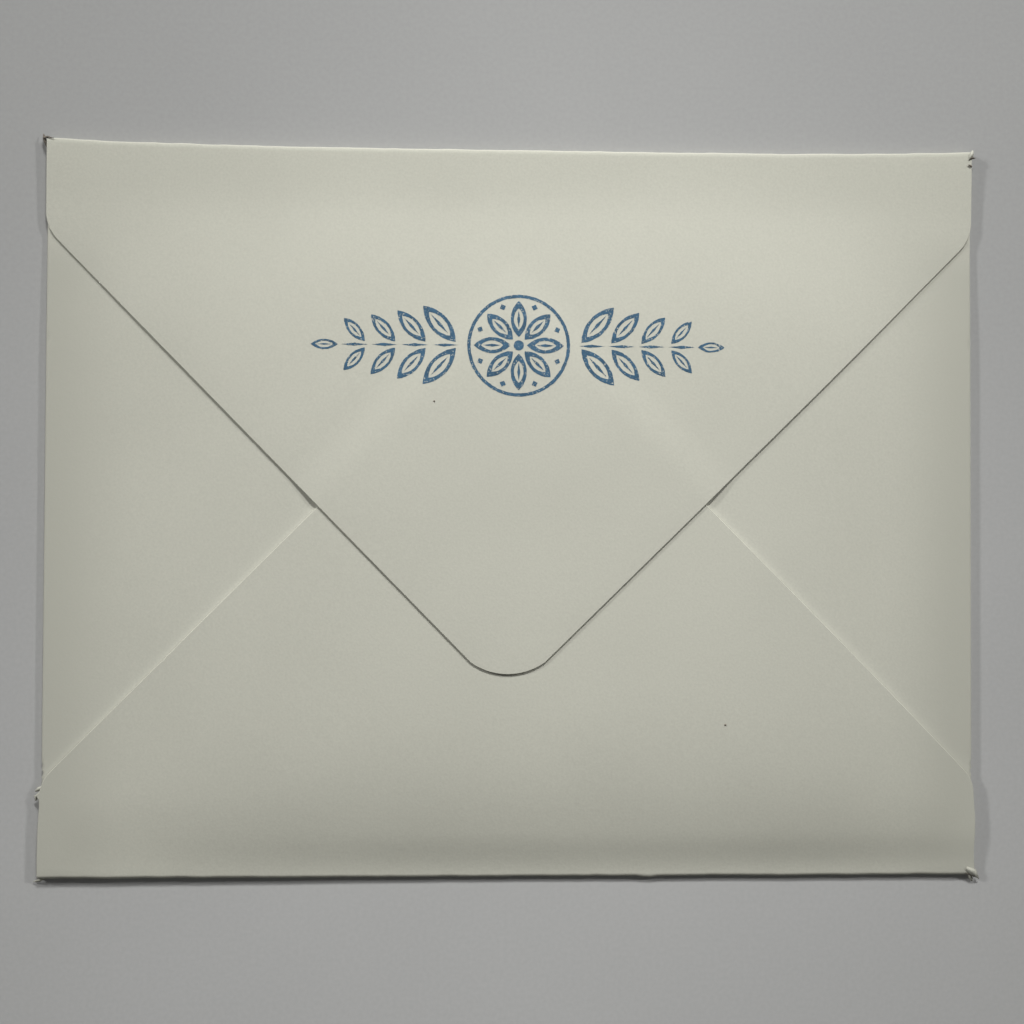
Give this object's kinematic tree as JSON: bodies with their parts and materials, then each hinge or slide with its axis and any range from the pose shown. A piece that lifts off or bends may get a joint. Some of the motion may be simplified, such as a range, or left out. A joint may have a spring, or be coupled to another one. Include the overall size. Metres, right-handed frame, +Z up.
{
  "type": "paper envelope",
  "caption": "Closed paper envelope folded from one square sheet, with a pointed closing flap, a rounded tip, two glued side seams and a stamped leaf ornament.",
  "frame": {"origin": "middle of the underside of the front panel, which lies on the table", "axes": "+Z up out of the flap side, +X along the width, +Y towards the fold of the closing flap"},
  "size_m": [0.1468, 0.1142, 0.0042],
  "materials": {
    "paper": "matt uncoated cream paper with a fine tooth",
    "glue": "dried clear paper glue",
    "ink": "dry blue stamping ink"
  },
  "bodies": {
    "root": {"envelope_sheet": "paper", "seam_glue_left": "glue", "seam_glue_right": "glue", "stamped_ornament": "ink"}
  },
  "joints": []
}
